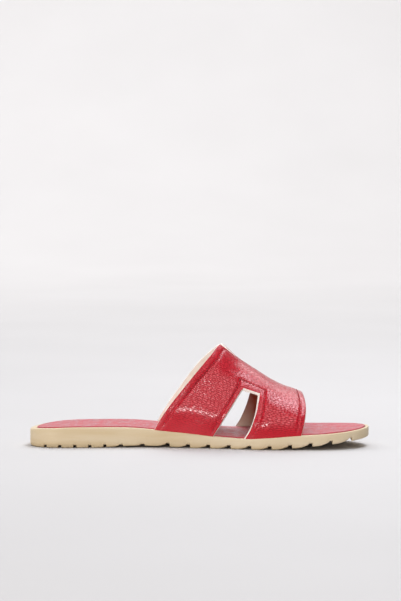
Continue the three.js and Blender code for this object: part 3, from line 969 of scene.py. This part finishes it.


# Cowhide, embossed with a pebble grain, pigmented red and sealed with a clear coat: long shiny pebbles
# in rows along the foot, painted shade in the valleys and a painted highlight on the crowns, smoother and a
# flat, slightly darker red where it is stretched over the last's edge

cowhideLook = {
    # the valley colour is painted shade in the hollows of the grain
    "valleyShade": "#921520",
    "red": "#b6202c",
    # the crown colour is a painted highlight on the crests of the grain
    "crown": "#c62a38",
    "pebble": (3.0, 1.5),  # length along a rib and distance between ribs
    "ribShare": 0.46,  # how much of the relief is the ribs, the rest is the pebbles they break into
    "pebbleEdge": 0.34,
    "waver": 5.0,  # how far apart the ribs change course
    "drift": (2.6, 3.0),  # and how far they stray
    "cloud": 30.0,
    "cloudShare": 0.2,
    "plainShade": 0.24,  # tone near the sole, where the grain fades: a flat, slightly darker red
    "wiped": 0.15,  # clear coat left in the valleys
    "relief": 0.06,
}


def pebbledCowhide():
    look = cowhideLook
    material, tree = newMaterial("pebbled_red_cowhide")
    hide = addNode(tree, "Attribute", attribute_name="hideMm").outputs["Vector"]
    share = addNode(tree, "Attribute", attribute_name="grainShare").outputs["Fac"]
    waver = addNode(tree, "TexNoise", {"Vector": hide, "Scale": 1 / look["waver"], "Detail": 2.0})
    drift = (*look["drift"], 0.0)
    shift = addNode(tree, "VectorMath", {
        0: waver.outputs["Color"], 1: drift, 2: [-step / 2 for step in drift],
    }, operation="MULTIPLY_ADD")
    moved = addNode(tree, "VectorMath", {0: hide, 1: shift}, operation="ADD")
    length, width = look["pebble"]
    across = addNode(tree, "SeparateXYZ", {"Vector": moved}).outputs["Y"]
    turn = addNode(tree, "Math", {0: across, 1: 2 * math.pi / width}, operation="MULTIPLY")
    rib = addNode(tree, "Math", {0: turn}, operation="SINE")
    cells = addNode(tree, "Mapping", {"Vector": moved, "Scale": (1 / length, 1 / width, 1)})
    pebble = addNode(tree, "TexVoronoi", {"Vector": cells, "Scale": 1.0, "Randomness": 0.95},
                     feature="DISTANCE_TO_EDGE", voronoi_dimensions="2D")
    part = 1 - look["ribShare"]
    crumbled = addNode(tree, "MapRange", {
        "Value": pebble.outputs["Distance"], 1: 0.0, 2: look["pebbleEdge"], 3: 0.5 - part, 4: 0.5,
    }, interpolation_type="SMOOTHSTEP")
    crown = addNode(tree, "Math", {0: rib, 1: look["ribShare"] / 2, 2: crumbled}, operation="MULTIPLY_ADD")
    grain = addNode(tree, "Math", {0: crown, 1: share}, operation="MULTIPLY")
    cloud = addNode(tree, "TexNoise", {"Vector": hide, "Scale": 1 / look["cloud"], "Detail": 3.0})
    cloudShare = look["cloudShare"]
    cloudy = addNode(tree, "Math", {0: cloud, 1: cloudShare, 2: -cloudShare / 2}, operation="MULTIPLY_ADD")
    plain = addNode(tree, "MapRange", {"Value": share, 1: 0.0, 2: 1.0, 3: look["plainShade"], 4: 0.0})
    softened = addNode(tree, "Math", {0: crown, 1: share, 2: plain}, operation="MULTIPLY_ADD")
    shade = addNode(tree, "Math", {0: softened, 1: cloudy}, operation="ADD")
    # the ramp paints shade into the valleys and a highlight onto the crowns; towards the sole both fade into
    # a flat red
    tint = addNode(tree, "ValToRGB", {"Fac": shade},
                   [(0.0, look["valleyShade"]), (0.3, look["red"]), (0.75, look["crown"])])
    gloss = addNode(tree, "MapRange", {"Value": crown, 1: 0.0, 2: 1.0, 3: 0.32, 4: 0.22})
    seal = addNode(tree, "Attribute", attribute_name="sealShare").outputs["Fac"]
    wiped = addNode(tree, "MapRange", {"Value": crown, 1: 0.1, 2: 0.55, 3: look["wiped"], 4: 1.0})
    coat = addNode(tree, "Math", {0: seal, 1: wiped}, operation="MULTIPLY")
    relief = addNode(tree, "Bump", {"Height": grain, "Strength": 1.0, "Distance": look["relief"] * mm})
    return finishMaterial(material, {
        "Base Color": tint, "Roughness": gloss, "Normal": relief, "IOR": 1.5, "Specular IOR Level": 0.1,
        "Coat Weight": coat, "Coat Roughness": 0.13, "Coat IOR": 1.53, "Coat Normal": relief,
    })


# Pigskin lining, undyed, plated smooth: warm cream, matt, open pores, with painted shade turning it brown
# deeper inside the band

liningLook = {
    "cream": "#f6f4e8",
    # beige between the cream and the painted shade inside
    "liningBeige": "#e9dcc6",
    # painted shade deep inside the band, towards the toe
    "tan": "#8a3a1c",
    "insideShadeFrom": (-1.0, 12.5),  # places along the hide where the painted shade starts and is full
    "pore": 1.3,
    "poreDepth": 0.12,
    "cloud": 16.0,
}


def plainPigskin():
    look = liningLook
    material, tree = newMaterial("cream_pigskin_lining")
    hide = addNode(tree, "Attribute", attribute_name="hideMm").outputs["Vector"]
    cloud = addNode(tree, "TexNoise", {"Vector": hide, "Scale": 1 / look["cloud"], "Detail": 4.0})
    pore = addNode(tree, "TexVoronoi", {"Vector": hide, "Scale": 1 / look["pore"]}, voronoi_dimensions="2D")
    dot = addNode(tree, "MapRange", {"Value": pore, 1: 0.0, 2: 0.25, 3: 0.0, 4: 1.0},
                  interpolation_type="SMOOTHSTEP")
    along = addNode(tree, "SeparateXYZ", {"Vector": hide}).outputs["X"]
    start, end = look["insideShadeFrom"]
    # painted shade: the lining browns from the collar towards the toe, deeper inside the band
    outsideShade = addNode(tree, "MapRange", {"Value": along, 1: start, 2: end, 3: 0.8, 4: 0.0})
    depth = addNode(tree, "Math", {0: cloud, 1: 0.3, 2: outsideShade}, operation="MULTIPLY_ADD")
    tint = addNode(tree, "ValToRGB", {"Fac": depth},
                   [(0.12, look["tan"]), (0.88, look["liningBeige"]), (0.98, look["cream"])])
    matt = addNode(tree, "MapRange", {"Value": cloud, 1: 0.3, 2: 0.7, 3: 0.7, 4: 0.58})
    relief = addNode(tree, "Bump", {"Height": dot, "Strength": 0.5, "Distance": look["poreDepth"] * mm})
    return finishMaterial(material, {
        "Base Color": tint, "Roughness": matt, "Normal": relief, "IOR": 1.48, "Specular IOR Level": 0.4,
    })


# Cut edge of leather and lining, left raw: pale chrome-tanned core, fibrous, with no shine

cutEdgeLook = {"core": "#f3ece4", "fibre": "#dccbbb", "fibreSize": 0.7, "fibreDepth": 0.2}


def rawCutEdge():
    look = cutEdgeLook
    material, tree = newMaterial("raw_cut_leather_edge")
    place = addNode(tree, "TexCoord").outputs["Object"]
    fibre = addNode(tree, "TexNoise", {
        "Vector": place, "Scale": perMetre(look["fibreSize"]), "Detail": 3.0,
    })
    tint = addNode(tree, "ValToRGB", {"Fac": fibre}, [(0.3, look["fibre"]), (0.55, look["core"])])
    rough = addNode(tree, "MapRange", {"Value": fibre, 1: 0.3, 2: 0.7, 3: 0.95, 4: 0.8})
    relief = addNode(tree, "Bump", {"Height": fibre, "Strength": 0.6, "Distance": look["fibreDepth"] * mm})
    return finishMaterial(material, {
        "Base Color": tint, "Roughness": rough, "Normal": relief, "IOR": 1.45, "Specular IOR Level": 0.2,
    })


makeBand(pebbledCowhide(), plainPigskin(), rawCutEdge())


# Bonded polyester thread, three plies, waxed: darker than the leather, twisted, faint shine

threadLook = {"red": "#a01a26", "deep": "#78121c", "ply": 0.5, "plyDepth": 0.08}


def waxedThread():
    look = threadLook
    material, tree = newMaterial("waxed_dark_red_thread")
    place = addNode(tree, "TexCoord").outputs["Object"]
    ply = addNode(tree, "TexWave", {
        "Vector": place, "Scale": perMetre(look["ply"]) / (2 * math.pi), "Distortion": 1.5,
    }, bands_direction="DIAGONAL").outputs["Fac"]
    tint = addNode(tree, "ValToRGB", {"Fac": ply}, [(0.2, look["deep"]), (0.8, look["red"])])
    relief = addNode(tree, "Bump", {"Height": ply, "Strength": 0.4, "Distance": look["plyDepth"] * mm})
    wax = addNode(tree, "MapRange", {"Value": ply, 1: 0.0, 2: 1.0, 3: 0.6, 4: 0.45})
    return finishMaterial(material, {"Base Color": tint, "Roughness": wax, "Normal": relief, "IOR": 1.5})


# Stitches: short arched lengths of thread that dive into the leather at both ends

stitchShape = {
    "pitch": 2.6,
    "length": 2.15,
    "radius": 0.33,
    "crown": 0.30,  # height of the thread's middle over the groove
    "sink": 0.55,  # depth of its ends
    "slant": 8.0,
    "taper": 0.3,
    "rounds": 7,
    "sides": 8,
}


def makeStitches(material):
    shape = stitchShape
    count = shape["sides"]
    rounds = shape["rounds"]
    firstEnd = tuple(range(count))[::-1]
    lastEnd = tuple(range((rounds - 1) * count, rounds * count))
    oneStitch = stackFaces(count, rounds) + [firstEnd, lastEnd]
    points = []
    faces = []
    turns = np.linspace(0, 2 * math.pi, count, endpoint=False)
    slant = math.radians(shape["slant"])
    for side, corners in stitchPaths():
        chain = pathOnBand(corners, side, shape["pitch"])
        sides = np.full(len(chain), side)
        middles = archPoint(chain[:, 0], chain[:, 1], sides)
        normals = archNormal(chain[:, 0], chain[:, 1], sides)
        runs = unit(np.gradient(middles, axis=0))
        for middle, normal, run in zip(middles, normals, runs):
            aside = np.cross(normal, run)
            along = run * math.cos(slant) + aside * math.sin(slant)
            aside = np.cross(normal, along)
            start = len(points)
            for i in range(rounds):
                t = lerp(-1, 1, i / (rounds - 1))
                rise = lerp(shape["crown"], -shape["sink"], t * t) - bandShape["grooveDepth"]
                centre = middle + along * (t * shape["length"] / 2) + normal * rise
                radius = shape["radius"] * (1 - shape["taper"] * t * t)
                for turn in turns:
                    points.append(centre + (normal * math.cos(turn) + aside * math.sin(turn)) * radius)
            faces += [tuple(start + i for i in face) for face in oneStitch]
    thread = addMesh("upper_stitches", points, faces, [material], sharpAngle=60.0)
    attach(thread, "root")


makeStitches(waxedThread())


# Seamless paper sweep: matt, slightly warm white, faint fibre clouds

sweepShape = {
    "floor": (-5000.0, -1500.0, 0.0, 1500.0), "back": 2600.0, "radius": 2200.0, "rounds": 25,
    "top": 4200.0, "halfWidth": 5000.0,
}
paperLook = {"white": "#c6c2c0", "shade": "#c3bfbd", "cloud": 300.0}


def seamlessPaper():
    look = paperLook
    material, tree = newMaterial("seamless_white_paper")
    place = addNode(tree, "TexCoord").outputs["Object"]
    cloud = addNode(tree, "TexNoise", {"Vector": place, "Scale": perMetre(look["cloud"]), "Detail": 2.0})
    tint = addNode(tree, "ValToRGB", {"Fac": cloud}, [(0.3, look["shade"]), (0.7, look["white"])])
    rough = addNode(tree, "MapRange", {"Value": cloud, 1: 0.0, 2: 1.0, 3: 0.85, 4: 0.95})
    return finishMaterial(material, {"Base Color": tint, "Roughness": rough, "Specular IOR Level": 0.1})


def makeSweep(material):
    shape = sweepShape
    back = shape["back"]
    radius = shape["radius"]
    profile = [(y, 0.0) for y in shape["floor"]]
    for turn in np.radians(np.linspace(0, 90, shape["rounds"])):
        profile.append((back + radius * math.sin(turn), radius * (1 - math.cos(turn))))
    profile.append((back + radius, shape["top"]))
    points = []
    for y, z in profile:
        points += [(-shape["halfWidth"], y, z), (shape["halfWidth"], y, z)]
    faces = [(2 * i, 2 * i + 1, 2 * i + 3, 2 * i + 2) for i in range(len(profile) - 1)]
    sweep = addMesh("paper_sweep", points, faces, [material])


makeSweep(seamlessPaper())


# Light: softboxes overhead and in front, a narrow one low beside the camera, a fill, a bank over the paper

lightAim = (0, 0, 40)
lightSet = {  # places and sizes in millimetres, white and aimed at the band unless they say otherwise
    "overhead": {
        "place": (390, 20, 1405), "aim": (390, 21, 0), "size": (560, 1250), "watts": 16.4, "tint": "#f0f6ff",
    },
    "besideCamera": {"place": (-490, -1540, 80), "size": (500, 120), "watts": 8.0},
    "front": {"place": (-200, -2310, 1650), "size": (1900, 2600), "watts": 31.0},
    "leftFill": {"place": (-1750, -720, 170), "size": (1600, 300), "watts": 7.0},
    "behind": {
        "place": (-1000, 3000, 3000), "aim": (-1000, 3001, 0), "size": (7000, 3600), "watts": 246.0,
        "tint": "#f8fbff",
    },
}
roomGlow = {"zenith": "#d8d8d8", "horizon": "#8f8f8f", "strength": 0.3}


def pointAt(obj, place, aim):
    start = np.array(place, float) * mm
    back = unit(start - np.array(aim, float) * mm)
    obj.location = start
    pitch = math.acos(back[2])
    heading = math.atan2(back[1], back[0]) + math.pi / 2
    obj.rotation_euler = (pitch, 0, heading)


def makeLights():
    for name, settings in lightSet.items():
        light = bpy.data.lights.new(name, "AREA")
        light.shape = "RECTANGLE"
        light.size = settings["size"][0] * mm
        light.size_y = settings["size"][1] * mm
        light.energy = settings["watts"]
        light.color = linear(settings.get("tint", "#ffffff"))[:3]
        obj = bpy.data.objects.new(name, light)
        obj.visible_camera = False
        bpy.context.scene.collection.objects.link(obj)
        pointAt(obj, settings["place"], settings.get("aim", lightAim))
    world = bpy.data.worlds.new("studio_room")
    world.use_nodes = True
    tree = world.node_tree
    tree.nodes.clear()
    direction = addNode(tree, "TexCoord").outputs["Generated"]
    up = addNode(tree, "SeparateXYZ", {"Vector": direction}).outputs["Z"]
    tint = addNode(tree, "ValToRGB", {"Fac": up}, [(0.0, roomGlow["horizon"]), (0.6, roomGlow["zenith"])])
    glow = addNode(tree, "Background", {"Color": tint, "Strength": roomGlow["strength"]})
    addNode(tree, "OutputWorld", {"Surface": glow})
    bpy.context.scene.world = world
    print("lights: set")


makeLights()


# Camera: the photograph is taken from the inner side, a little above the shoe, which sits low in the frame

cameraSet = {
    "elevation": 6.2,
    "distance": 1800.0,
    "aimHeight": 10.0,
    "mmPerPixel": 0.7423,
    "framePixels": (401, 601),
    "aimPixel": (199.4, 430.0),
    "sensor": 36.0,
}


def makeCamera():
    settings = cameraSet
    width, height = settings["framePixels"]
    focal = settings["distance"] / settings["mmPerPixel"]
    elevation = math.radians(settings["elevation"])
    pitch = elevation - math.atan((settings["aimPixel"][1] - height / 2) / focal)
    camera = bpy.data.cameras.new("camera")
    camera.sensor_width = settings["sensor"]
    camera.lens = focal * settings["sensor"] / height
    camera.clip_start = 0.05
    camera.clip_end = 100.0
    obj = bpy.data.objects.new("camera", camera)
    bpy.context.scene.collection.objects.link(obj)
    obj.location = (
        (width / 2 - settings["aimPixel"][0]) * settings["mmPerPixel"] * mm,
        -settings["distance"] * math.cos(elevation) * mm,
        (settings["aimHeight"] + settings["distance"] * math.sin(elevation)) * mm,
    )
    obj.rotation_euler = (math.pi / 2 - pitch, 0, 0)
    bpy.context.scene.camera = obj
    bpy.context.scene.view_settings.view_transform = "Standard"
    print("camera: set")


makeCamera()
